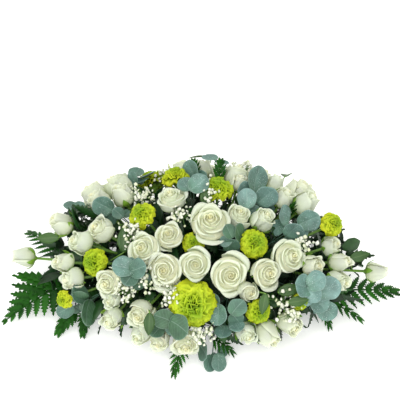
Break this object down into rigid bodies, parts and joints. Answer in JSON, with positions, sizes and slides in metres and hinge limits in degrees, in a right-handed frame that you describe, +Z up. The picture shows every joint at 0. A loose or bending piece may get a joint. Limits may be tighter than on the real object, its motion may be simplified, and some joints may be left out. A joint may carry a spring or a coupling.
{
  "type": "rose arrangement",
  "caption": "Double-ended table spray of white roses and lime carnations with eucalyptus, fern and small florets, set in floral foam in a shallow tray.",
  "frame": {"origin": "middle of the tray's flat underside, on the table", "axes": "+Z up out of the tray, +X along the spray's length, -Y towards the side it is seen from"},
  "size_m": [0.8367, 0.4921, 0.2535],
  "materials": {
    "white_petal": "soft, slightly waxy",
    "lime_petal": "matt, frilled",
    "flower_stem": "fresh green stem",
    "gum_leaf": "waxy bloom",
    "fern_leaf": "leathery, half gloss",
    "breath_floret": "matt",
    "foam_green": "wet open-celled",
    "tray_plastic": "moulded"
  },
  "bodies": {
    "root": {"breath_front": "breath_floret", "breath_left": "breath_floret", "breath_rear": "breath_floret", "breath_right": "breath_floret", "breath_top": "breath_floret", "carnation_front": "lime_petal", "carnation_left": "lime_petal", "carnation_left_small": "lime_petal", "carnation_left_upper": "lime_petal", "carnation_middle": "lime_petal", "carnation_rear_left": "lime_petal", "carnation_rear_right": "lime_petal", "carnation_right_centre": "lime_petal", "carnation_right_end": "lime_petal", "carnation_right_front": "lime_petal", "carnation_right_small": "lime_petal", "carnation_top": "lime_petal", "carnation_top_left": "lime_petal", "fern_front": "fern_leaf", "fern_left": "fern_leaf", "fern_left_back": "fern_leaf", "fern_rear": "fern_leaf", "fern_right": "fern_leaf", "fern_top": "fern_leaf", "fern_top_right": "fern_leaf", "flower_stems_1": "flower_stem", "flower_stems_2": "flower_stem", "flower_stems_3": "flower_stem", "flower_stems_4": "flower_stem", "flower_stems_5": "flower_stem", "flower_stems_6": "flower_stem", "foam": "foam_green", "gum_centre": "gum_leaf", "gum_centre_left": "gum_leaf", "gum_front": "gum_leaf", "gum_front_left": "gum_leaf", "gum_front_tip": "gum_leaf", "gum_left_front": "gum_leaf", "gum_left_top": "gum_leaf", "gum_rear_left": "gum_leaf", "gum_rear_right": "gum_leaf", "gum_right_front": "gum_leaf", "gum_right_upper": "gum_leaf", "gum_top": "gum_leaf", "gum_top_right": "gum_leaf", "roses_back": "white_petal", "roses_back_left": "white_petal", "roses_back_right": "white_petal", "roses_centre": "white_petal", "roses_front_low": "white_petal", "roses_front_right": "white_petal", "roses_left": "white_petal", "roses_left_front": "white_petal", "roses_left_tip": "white_petal", "roses_left_upper": "white_petal", "roses_right": "white_petal", "roses_right_tip": "white_petal", "roses_top": "white_petal", "roses_top_left": "white_petal", "tray": "tray_plastic"}
  },
  "joints": []
}
